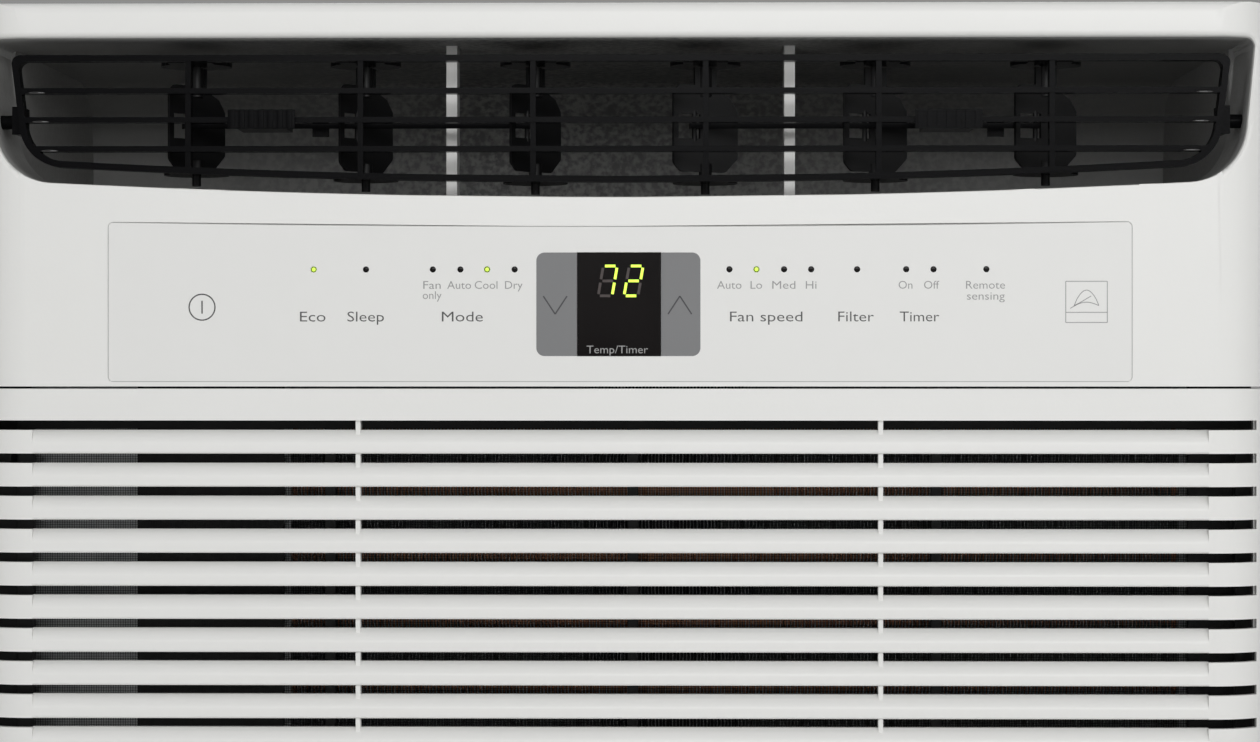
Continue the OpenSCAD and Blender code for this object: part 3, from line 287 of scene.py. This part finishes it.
def make_finishes():
    made = {}
    made["white_plastic"] = plastic("white_moulding", (0.81, 0.81, 0.79), (0.845, 0.845, 0.83), 0.36,
                                    swing=0.05)
    made["overlay_film"] = plastic("overlay_film", (0.79, 0.79, 0.775), (0.815, 0.815, 0.80), 0.42,
                                   grain=1800, depth=0.00001, swing=0.05)
    made["gloss_black"] = plastic("gloss_black_moulding", (0.003, 0.003, 0.0034), (0.006, 0.006, 0.0066),
                                  0.22, depth=0.00001, swing=0.08, fixed={"Specular IOR Level": 0.03})
    made["polished_black"] = plastic("polished_black", (0.004, 0.004, 0.004), (0.007, 0.007, 0.007), 0.1,
                                     depth=0.000004, swing=0.04, fixed={"Specular IOR Level": 0.9})
    made["vane_black"] = plastic("vane_black_moulding", (0.004, 0.004, 0.0045), (0.009, 0.009, 0.0095),
                                 0.38, depth=0.00001, swing=0.1, fixed={"Specular IOR Level": 0.22})
    duct = Finish("mottled_duct_painted_shade", {"Specular IOR Level": 0.35})
    specks = duct.noise(420, 5)
    clouds = duct.noise(18, 4)
    # Painted light and shade: the base colour under the real specks is lighter at both ends of the duct and
    # darker in the middle, following how the duct is lit, not a change in the plastic.
    side = duct.along("X") * 2.1 + 0.5
    shade = duct.ramp(side, [(0.0, (0.46, 0.46, 0.45)), (0.38, (0.2, 0.2, 0.2)), (0.62, (0.24, 0.24, 0.235)),
                             (1.0, (0.44, 0.44, 0.435))])
    duct.colour(duct.mix(duct.ramp(specks * 0.75 + clouds * 0.25, [(0.42, 0.0), (0.58, 1.0)]),
                         shade, (0.42, 0.42, 0.41)))
    duct.rough(0.62 + (specks - 0.5) * 0.5)
    made["dark_grey_plastic"] = duct.relief(specks, 0.00015)
    made["black_plastic"] = plastic("black_moulding", (0.010, 0.010, 0.010), (0.022, 0.022, 0.022), 0.5,
                                    grain=500, depth=0.00005)
    glass = Finish("smoked_window", {"Specular IOR Level": 0.14})
    film = glass.noise(30, 4)
    glass.colour(glass.mix(film, (0.004, 0.0036, 0.0036), (0.008, 0.006, 0.006)))
    glass.rough(0.12 + film * 0.08)
    made["smoked_window"] = glass.relief(glass.noise(200, 2), 0.000004)
    board = Finish("solder_mask", {"Specular IOR Level": 0.5})
    weave = board.noise(700, 2, (1, 1, 3))
    board.colour(board.mix(weave, (0.008, 0.06, 0.02), (0.02, 0.13, 0.045)))
    board.rough(0.28 + weave * 0.15)
    made["green_board"] = board.relief(weave, 0.00002)
    made["filter_net"] = plastic("net_strand", (0.006, 0.006, 0.006), (0.02, 0.02, 0.02), 0.6,
                                 grain=700, depth=0.00003)
    fins = Finish("fin_foil", {"Metallic": 0.85})
    streak = fins.noise(900, 3, (1, 0.02, 0.08))
    dust = fins.noise(16, 5)
    fins.colour(fins.mix(streak * 0.75 + dust * 0.25, (0.16, 0.165, 0.17), (0.72, 0.73, 0.74)))
    fins.rough(0.28 + dust * 0.25)
    made["fin_aluminium"] = fins.relief(streak, 0.00004)
    made["copper"] = metal("copper_tube", (0.42, 0.17, 0.085), (0.78, 0.40, 0.25), 0.28, (1, 1, 0.2),
                           swing=0.25)
    made["zinc_steel"] = zinc("galvanised_sheet")
    foam = Finish("moulded_foam", {"Specular IOR Level": 0.3})
    beads = foam.cells(330)
    foam.colour(foam.ramp(beads, [(0.0, (0.68, 0.68, 0.66)), (0.6, (0.83, 0.83, 0.81))]))
    foam.rough(0.75 + beads * 0.2)
    made["foam_white"] = foam.relief(beads, 0.0003)
    made["white_steel"] = paint("case_enamel", (0.72, 0.72, 0.70), (0.79, 0.79, 0.77), 0.38)
    made["black_steel"] = paint("black_enamel", (0.008, 0.008, 0.009), (0.022, 0.022, 0.023), 0.26)
    made["motor_steel"] = paint("motor_enamel", (0.10, 0.105, 0.11), (0.20, 0.205, 0.21), 0.4, 0.00006)
    made["rubber"] = plastic("black_rubber", (0.012, 0.012, 0.012), (0.03, 0.03, 0.03), 0.75,
                             grain=260, depth=0.00008)
    made["capacitor_can"] = metal("capacitor_can", (0.45, 0.455, 0.46), (0.66, 0.67, 0.68), 0.3,
                                  (1, 1, 0.05))
    ink = {"dark_ink": ((0.055, 0.055, 0.055), (0.085, 0.085, 0.085)),
           "pale_ink": ((0.27, 0.27, 0.27), (0.34, 0.34, 0.34)),
           "pad_ink": ((0.175, 0.178, 0.183), (0.205, 0.207, 0.212)),
           # The grey used for the line round the film is painted shade for the groove's shadow, not print.
           "painted_groove_shade": ((0.36, 0.36, 0.355), (0.44, 0.44, 0.435)),
           "arrow_ink": ((0.035, 0.035, 0.04), (0.05, 0.05, 0.055)),
           "window_ink": ((0.30, 0.30, 0.30), (0.38, 0.38, 0.38))}
    for name, (dark, light) in ink.items():
        made[name] = plastic(name, dark, light, 0.45, grain=2500, depth=0.000004, swing=0.05)
    for name, shade, strength in (("lit_segment", (0.50, 0.86, 0.02), 1.15),
                                  ("lit_lens", (0.58, 0.80, 0.08), 0.75)):
        lamp = Finish(name, {"Roughness": 0.35, "Emission Strength": strength})
        glow = lamp.noise(900, 2)
        lamp.colour(lamp.mix(glow, (0.30, 0.5, 0.02), (0.4, 0.62, 0.05)))
        lamp.feed(lamp.shader.inputs["Emission Color"], lamp.mix(glow, shade, (0.72, 0.95, 0.12)))
        made[name] = lamp
    dim = Finish("unlit_segment", {"Roughness": 0.35})
    dim.colour(dim.mix(dim.noise(900, 2), (0.020, 0.009, 0.008), (0.030, 0.014, 0.012)))
    made["unlit_segment"] = dim
    return made


def dress(obj, finish):
    obj.data.materials.clear()
    obj.data.materials.append(finish.material)


# ---------------------------------------------------------------- workshop

def only(obj):
    bpy.ops.object.select_all(action="DESELECT")
    obj.select_set(True)
    bpy.context.view_layer.objects.active = obj


def settle(obj):
    only(obj)
    bpy.ops.object.transform_apply(location=True, rotation=True, scale=True)


def round_edges(obj, width, steps=2, limit=35):
    only(obj)
    edge = obj.modifiers.new("rounded", "BEVEL")
    edge.width = width
    edge.segments = steps
    edge.limit_method = "ANGLE"
    edge.angle_limit = math.radians(limit)
    bpy.ops.object.modifier_apply(modifier=edge.name)


def smooth(obj, angle=32):
    only(obj)
    bpy.ops.object.shade_smooth_by_angle(angle=math.radians(angle))


def bevel_where(obj, choose, width, steps):
    """Bevels the edges whose two ends, and the turn between their faces, pass the test."""
    only(obj)
    bpy.ops.object.mode_set(mode="EDIT")
    bpy.ops.mesh.select_mode(type="EDGE")
    bpy.ops.mesh.select_all(action="DESELECT")
    bpy.ops.object.mode_set(mode="OBJECT")
    mesh = obj.data
    faces = {}
    for face in mesh.polygons:
        for key in face.edge_keys:
            faces.setdefault(key, []).append(face.normal.copy())
    for edge in mesh.edges:
        p, q = (mesh.vertices[i].co for i in edge.vertices)
        sides = faces.get(tuple(sorted(edge.vertices)), [])
        turn = sides[0].angle(sides[1], 0) if len(sides) == 2 else 0
        if choose(p, q, turn):
            edge.select = True
    bpy.ops.object.mode_set(mode="EDIT")
    bpy.ops.mesh.bevel(offset=width, segments=steps, profile=0.5, clamp_overlap=False)
    bpy.ops.object.mode_set(mode="OBJECT")


def even_shading(obj):
    """Keeps large flat faces flat beside rounded edges."""
    only(obj)
    shade = obj.modifiers.new("even", "WEIGHTED_NORMAL")
    shade.keep_sharp = True
    shade.weight = 100
    bpy.ops.object.modifier_apply(modifier=shade.name)


def repeat(obj, step, count):
    """A row of copies, each one step on from the last."""
    only(obj)
    row = obj.modifiers.new("row", "ARRAY")
    row.count = count
    row.use_relative_offset = False
    row.use_constant_offset = True
    row.constant_offset_displace = step
    bpy.ops.object.modifier_apply(modifier=row.name)


def merged(obj, parts, name):
    bpy.ops.object.select_all(action="DESELECT")
    for part in parts:
        part.select_set(True)
    bpy.context.view_layer.objects.active = obj
    bpy.ops.object.join()
    obj.name = name
    return obj


def finished(obj, body, slot_name, finish=None):
    dress(obj, finish or FINISH[slot_name])
    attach(obj, body)
    return obj


def block(name, low, high, soft=0.0, steps=2):
    """A block with rounded edges between two corners."""
    bpy.ops.object.select_all(action="DESELECT")
    middle = [(a + b) / 2 for a, b in zip(low, high)]
    bpy.ops.mesh.primitive_cube_add(size=1, location=middle)
    obj = bpy.context.object
    obj.name = name
    obj.scale = [b - a for a, b in zip(low, high)]
    settle(obj)
    if soft:
        round_edges(obj, soft, steps, 30)
        smooth(obj)
    return obj


def stroke(name, start, end, width, y, thick):
    """A flat printed line from one (x, z) to another on the face at y."""
    bpy.ops.object.select_all(action="DESELECT")
    dx, dz = end[0] - start[0], end[1] - start[1]
    middle = ((start[0] + end[0]) / 2, y - thick / 2, (start[1] + end[1]) / 2)
    bpy.ops.mesh.primitive_cube_add(size=1, location=middle, rotation=(0, -math.atan2(dz, dx), 0))
    obj = bpy.context.object
    obj.name = name
    obj.scale = (math.hypot(dx, dz), thick, width)
    settle(obj)
    return obj


def mouth_lip(p, q, turn):
    """The edge where the mouth meets the outside of the front moulding."""
    for point in (p, q):
        over = abs(point.x) - (HALF_W - CORNER_R)
        if over <= 0:
            on_face = abs(point.y - front_y) < 0.00005
        else:
            on_face = abs(math.hypot(over, point.y - front_y - CORNER_R) - CORNER_R) < 0.00012
        if not on_face or not 0.296 < point.z < 0.3565:
            return False
    middle = (p + q) / 2
    return turn > 0.6 and (middle.z > 0.32 or abs(middle.x) > 0.214)


def lower_lip(p, q, turn):
    """The long lower edge of the mouth, on the flat of the front."""
    on_face = all(abs(point.y - front_y) < 0.00005 and 0.29 < point.z < 0.32 and
                  abs(point.x) < 0.2145 for point in (p, q))
    return on_face and turn > 0.6


def soft_copy(node, slot_name, width, steps=2, limit=35, shade=32):
    """The CAD piece with merged faces, rounded edges and smooth curves."""
    source = frame["nodes"][node]
    obj = bpy.data.objects.new(node + "_finished", source.data.copy())
    bpy.context.scene.collection.objects.link(obj)
    only(obj)
    bpy.ops.object.mode_set(mode="EDIT")
    bpy.ops.mesh.select_all(action="SELECT")
    bpy.ops.mesh.remove_doubles(threshold=0.000004)
    bpy.ops.mesh.dissolve_limited(angle_limit=FLAT_TURN if width else EXACT_TURN)
    bpy.ops.object.mode_set(mode="OBJECT")
    if node == "front_bezel":
        bevel_where(obj, mouth_lip, 2.2 * MM, 3)
        bevel_where(obj, lower_lip, 0.6 * MM, 2)
    if width:
        round_edges(obj, width, steps, limit)
    smooth(obj, shade)
    even_shading(obj)
    finished(obj, source["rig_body"], slot_name)
    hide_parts(node)
    return obj


# ---------------------------------------------------------------- coil fins and filter net

def fin_pack(name, low, high, pitch, body, node):
    """Close-set foil plates with a rippled front edge."""
    bpy.ops.object.select_all(action="DESELECT")
    thick = 0.00013
    count = int((high.x - low.x) / pitch)
    bpy.ops.mesh.primitive_cube_add(size=1, location=(low.x + pitch / 2, (low.y + high.y) / 2,
                                                      (low.z + high.z) / 2))
    plate = bpy.context.object
    plate.name = name
    plate.scale = (thick, high.y - low.y, high.z - low.z)
    settle(plate)
    bpy.ops.object.mode_set(mode="EDIT")
    bpy.ops.mesh.select_all(action="SELECT")
    for k in range(1, 12):
        z = low.z + (high.z - low.z) * k / 12
        bpy.ops.mesh.select_all(action="SELECT")
        bpy.ops.mesh.bisect(plane_co=(0, 0, z), plane_no=(0, 0, 1))
    bpy.ops.object.mode_set(mode="OBJECT")
    for v in plate.data.vertices:
        step = round((v.co.z - low.z) / (high.z - low.z) * 12)
        if 0 < step < 12:
            v.co.x += 0.00016 * (1 if step % 2 else -1)
    repeat(plate, (pitch, 0, 0), count)
    finished(plate, body, "fin_aluminium")
    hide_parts(node)


def strand_row(name, low, high, step, count):
    """Evenly spaced net strands, each a thin bar with its corners taken off."""
    bar = block(name, low, high)
    round_edges(bar, 0.00005, 1, 30)
    repeat(bar, step, count)
    return bar


def filter_net():
    pitch = 0.9 * MM
    w = 0.17 * MM
    y = (net_low.y + net_high.y) / 2
    up = strand_row("net_up", (net_low.x, y - w, net_low.z), (net_low.x + w, y, net_high.z),
                    (pitch, 0, 0), int((net_high.x - net_low.x) / pitch))
    across = strand_row("net_across", (net_low.x, y, net_low.z), (net_high.x, y + w, net_low.z + w),
                        (0, 0, pitch), int((net_high.z - net_low.z) / pitch))
    net = merged(up, [up, across], "filter_net")
    finished(net, "filter", "filter_net")
    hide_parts("filter_mesh")


# ---------------------------------------------------------------- control strip

INK = 0.00003


def label(words, left, right, base, cap, ink, name, y=None):
    """Printed words between two x places, standing on a base line."""
    bpy.ops.object.select_all(action="DESELECT")
    bpy.ops.object.text_add()
    text = bpy.context.object
    text.data.body = words
    text.data.resolution_u = 3
    text.data.offset = -0.004
    text.data.extrude = 0.005
    only(text)
    bpy.ops.object.convert(target="MESH")
    text = bpy.context.object
    xs = [v.co.x for v in text.data.vertices]
    wide = (right - left) / (max(xs) - min(xs))
    tall = cap / 0.729
    face = film_y if y is None else y
    start = left - min(xs) * wide
    turn = Matrix(((wide, 0, 0, start), (0, 0, -INK / 0.01, face - INK / 2), (0, tall, 0, base),
                   (0, 0, 0, 1)))
    text.data.transform(turn)
    text.name = name
    finished(text, "case", "overlay_film", FINISH[ink])
    return text


def control_artwork():
    big = 254.3 * MM
    small = 265.9 * MM
    for words, left, right in (("Eco", -113.5, -104.4), ("Sleep", -96.6, -83.6), ("Mode", -63.0, -48.4),
                               ("Fan speed", 39.4, 65.1), ("Filter", 77.8, 90.4), ("Timer", 99.6, 113.6)):
        label(words, left * MM, right * MM, big, 3.75 * MM, "dark_ink", "word_" + words.replace(" ", "_"))
    rows = [("Fan", -69.6, -63.4, small), ("only", -69.8, -63.1, small - 3.6 * MM),
            ("Auto", -61.1, -52.6, small), ("Cool", -51.3, -43.2, small), ("Dry", -40.5, -34.3, small),
            ("Auto", 34.8, 43.5, small), ("Lo", 46.7, 50.8, small), ("Med", 54.4, 62.6, small),
            ("Hi", 66.3, 70.1, small), ("On", 99.2, 104.1, small), ("Off", 108.2, 113.6, small),
            ("Remote", 123.1, 136.9, small), ("sensing", 123.4, 136.8, small - 3.9 * MM)]
    for k, (words, left, right, base) in enumerate(rows):
        label(words, left * MM, right * MM, base, 2.95 * MM, "pale_ink", "note_%d" % k)
    # power sign
    bpy.ops.object.select_all(action="DESELECT")
    bpy.ops.mesh.primitive_torus_add(major_radius=4.6 * MM, minor_radius=0.24 * MM, major_segments=72,
                                     minor_segments=8, location=(-148.4 * MM, film_y, 259.4 * MM),
                                     rotation=(math.pi / 2, 0, 0))
    ring = bpy.context.object
    ring.scale = (1, 1, 0.12)
    settle(ring)
    bar = stroke("bar", (-148.4 * MM, 257.1 * MM), (-148.4 * MM, 261.7 * MM), 0.5 * MM, film_y, INK)
    finished(merged(ring, [ring, bar], "power_sign"), "case", "overlay_film", FINISH["dark_ink"])
    # plain leaf sign in a box, where an efficiency mark would stand
    left, right, low, high = 158.4 * MM, 173.1 * MM, 253.9 * MM, 268.5 * MM
    lines = [((left, low), (right, low)), ((left, high), (right, high)), ((left, low), (left, high)),
             ((right, low), (right, high)), ((left, low + 3.6 * MM), (right, low + 3.6 * MM))]
    n = 10
    bow = [(left + 3 * MM + 8.7 * MM * k / n, low + 6 * MM + 5.5 * MM * math.sin(math.pi * k / n) ** 0.8)
           for k in range(n + 1)]
    dip = [(left + 3 * MM + 8.7 * MM * k / n, low + 6 * MM + 1.2 * MM * math.sin(math.pi * k / n))
           for k in range(n + 1)]
    lines += list(zip(bow, bow[1:])) + list(zip(dip, dip[1:]))
    lines.append(((left + 1.6 * MM, low + 5 * MM), (left + 9 * MM, low + 9.4 * MM)))
    parts = [stroke("sign", a, b, 0.28 * MM, film_y, INK) for a, b in lines]
    finished(merged(parts[0], parts, "leaf_sign"), "case", "overlay_film", FINISH["pale_ink"])


def overlay_outline():
    """The fine grey line round the film, with its bowed top: painted shade standing in for the shadow in the
    narrow groove round the film.
    """
    a = film_high.x
    low = film_low.z
    top = film_high.z
    n = 28
    bow = [(-a + 2 * a * k / n, top - 1.6 * MM + 1.6 * MM * (2.0 * k / n - 1) ** 2) for k in range(n + 1)]
    lines = [((-a, low), (a, low)), ((-a, low), (-a, top)), ((a, low), (a, top))] + list(zip(bow, bow[1:]))
    parts = [stroke("edge", p, q, 0.22 * MM, film_y, INK * 0.6) for p, q in lines]
    finished(merged(parts[0], parts, "film_outline"), "case", "overlay_film", FINISH["painted_groove_shade"])


def rounded_pad(name, left, right, low, high, outer):
    """A printed pad whose outer corners are rounded."""
    pad = block(name, (left, film_y - INK, low), (right, film_y, high))
    bevel_where(pad, lambda p, q, turn: abs(p.y - q.y) > INK / 2 and abs(p.x - outer) < 1e-5,
                2.9 * MM, 8)
    return finished(pad, "case", "overlay_film", FINISH["pad_ink"])


def display_face():
    low, high = glass_low.z, glass_high.z
    left = rounded_pad("pad_down", -29.4 * MM, glass_low.x - 0.1 * MM, low, high, -29.4 * MM)
    right = rounded_pad("pad_up", glass_high.x + 0.1 * MM, 28.9 * MM, low, high, 28.9 * MM)
    y = film_y - INK
    for name, x, sign in (("arrow_down", -22.7, -1), ("arrow_up", 21.6, 1)):
        mid = 260.1 * MM
        tip = (x * MM, mid + sign * 3.2 * MM)
        parts = [stroke("arm", (x * MM + s * 4.2 * MM, mid - sign * 3.2 * MM), tip, 0.5 * MM, y, INK * 0.5)
                 for s in (-1, 1)]
        finished(merged(parts[0], parts, name), "case", "overlay_film", FINISH["arrow_ink"])
    glass_y = glass_low.y
    for digit, x0 in (("7", -7.4), ("2", 1.8)):
        wide, half, base, slant = 4.95, 5.3, 263.4, 0.17
        at = lambda u, v: ((x0 + u * wide + v * half * slant) * MM, (base + v * half) * MM)
        spots = {"a": ((0, 2), (1, 2)), "b": ((1, 2), (1, 1)), "c": ((1, 1), (1, 0)), "d": ((0, 0), (1, 0)),
                 "e": ((0, 1), (0, 0)), "f": ((0, 2), (0, 1)), "g": ((0, 1), (1, 1))}
        on = {"7": "abc", "2": "abged"}[digit]
        groups = {True: [], False: []}
        for key, (p, q) in spots.items():
            (x1, z1), (x2, z2) = at(*p), at(*q)
            cut = 0.62 * MM / math.hypot(x2 - x1, z2 - z1)
            a = (x1 + (x2 - x1) * cut, z1 + (z2 - z1) * cut)
            b = (x2 - (x2 - x1) * cut, z2 - (z2 - z1) * cut)
            bar = stroke("segment", a, b, 0.95 * MM, glass_y, INK)
            groups[key in on].append(bar)
        for lit, parts in groups.items():
            piece = merged(parts[0], parts, "digit_%s_%s" % (digit, "lit" if lit else "unlit"))
            finished(piece, "case", "smoked_window", FINISH["lit_segment" if lit else "unlit_segment"])
    label("Temp/Timer", -11.5 * MM, 10.3 * MM, 243.0 * MM, 2.9 * MM, "window_ink", "window_words", glass_y)


def lamp_lenses():
    """Status lamps: a domed lens at each hole, three of them lit."""
    lamp_z = (lens_low.z + lens_high.z) / 2
    places = [-108.6, -90, -66.2, -56.4, -46.9, -37.1, 39.2, 48.8, 58.6, 68.2, 84.5, 101.9, 111.6, 130.3]
    for k, x in enumerate(places):
        bpy.ops.object.select_all(action="DESELECT")
        bpy.ops.mesh.primitive_uv_sphere_add(segments=24, ring_count=12, radius=1.05 * MM,
                                             location=(x * MM, film_y + 0.12 * MM, lamp_z))
        dome = bpy.context.object
        dome.name = "lamp_%d" % k
        dome.scale = (1, 0.16, 1)
        settle(dome)
        smooth(dome, 60)
        lit = k in (0, 4, 7)
        finished(dome, "case", "smoked_window", FINISH["lit_lens" if lit else "smoked_window"])


def bar_ends():
    """Raised, polished ends on the three level bars of the louvre."""
    bars_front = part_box("louver_frame")[0].y
    link_low, link_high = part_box("link_left")
    level = (link_low.z + link_high.z) / 2
    parts = []
    for row, reach in ((1, 208.7), (0, 207.3), (-1, 204.1)):
        for side in (-1, 1):
            bpy.ops.object.select_all(action="DESELECT")
            place = (side * reach * MM, bars_front + 0.15 * MM, level + row * BAR_PITCH + 0.1 * MM)
            bpy.ops.mesh.primitive_uv_sphere_add(segments=20, ring_count=10, radius=1 * MM, location=place)
            pip = bpy.context.object
            pip.scale = (3.2, 0.75, 0.62)
            settle(pip)
            smooth(pip, 60)
            parts.append(pip)
    finished(merged(parts[0], parts, "bar_ends"), "louver", "gloss_black", FINISH["polished_black"])


FINISH = make_finishes()
add_camera()
add_room()

SOFT = {
    "front_bezel": ("white_plastic", 0.55, 3), "intake_grille": ("white_plastic", 0.3, 2),
    "front_frame": ("black_plastic", 0.5, 2), "discharge_duct": ("dark_grey_plastic", 0, 2),
    "louver_frame": ("gloss_black", 0.45, 2), "link_left": ("gloss_black", 0.2, 2),
    "link_right": ("gloss_black", 0.2, 2), "control_overlay": ("overlay_film", 0.08, 1),
    "display_window": ("smoked_window", 0.1, 2), "display_module": ("black_plastic", 0.3, 2),
    "led_lenses": ("smoked_window", 0.1, 2), "control_pcb": ("green_board", 0.15, 1),
    "filter_frame": ("black_plastic", 0.4, 2), "evap_tubes": ("copper", 0, 0),
    "evap_plates": ("zinc_steel", 0.2, 1), "drain_pan": ("foam_white", 1.2, 2),
    "temp_sensor": ("black_plastic", 0.3, 2), "control_box": ("zinc_steel", 0.4, 2),
    "box_cover": ("zinc_steel", 0.3, 2), "capacitor": ("capacitor_can", 0.6, 2),
    "blower_scroll": ("black_plastic", 0.8, 2), "blower_wheel": ("black_plastic", 0, 0),
    "fan_shaft": ("zinc_steel", 0.5, 2), "fan_motor": ("motor_steel", 2.0, 3),
    "motor_bracket": ("zinc_steel", 0.3, 2), "bulkhead": ("zinc_steel", 0.3, 2),
    "condenser_fan": ("black_plastic", 0.3, 1), "condenser_shroud": ("black_plastic", 0.8, 2),
    "cond_tubes": ("copper", 0, 0), "cond_plates": ("zinc_steel", 0.2, 1),
    "compressor": ("black_steel", 0, 0), "accumulator": ("black_steel", 3.0, 3),
    "comp_mounts": ("rubber", 0.8, 2), "suction_line": ("copper", 0, 0),
    "discharge_line": ("copper", 0, 0), "liquid_line": ("copper", 0, 0),
    "base_pan": ("zinc_steel", 0.4, 2), "cabinet": ("white_steel", 0.5, 2),
    "rear_guard": ("black_steel", 0, 0), "cord_gland": ("rubber", 0.5, 2),
    "cabinet_screws": ("zinc_steel", 0.25, 2), "drain_plug": ("rubber", 0.8, 2),
}
for i in range(1, 7):
    SOFT["vane_%d" % i] = ("gloss_black", 0.25, 2)
for key in ("power", "eco", "sleep", "mode", "down", "up", "fan", "filter", "timer"):
    SOFT["key_" + key] = ("white_plastic", 0.3, 2)

for node, (slot_name, width, steps) in SOFT.items():
    piece = soft_copy(node, slot_name, width * MM, steps)
    if node.startswith("vane"):
        dress(piece, FINISH["vane_black"])

fin_pack("evaporator_fins", fin_low, fin_high, 0.00131, "case", "evap_fins")
fin_pack("condenser_fins", cond_low, cond_high, 0.00145, "case", "cond_fins")
filter_net()
control_artwork()
overlay_outline()
display_face()
lamp_lenses()
bar_ends()
for node, obj in frame["nodes"].items():
    name = SOFT.get(node, ("fin_aluminium",))[0]
    dress(obj, FINISH["filter_net" if node == "filter_mesh" else name])

bpy.context.scene.view_settings.view_transform = "Standard"
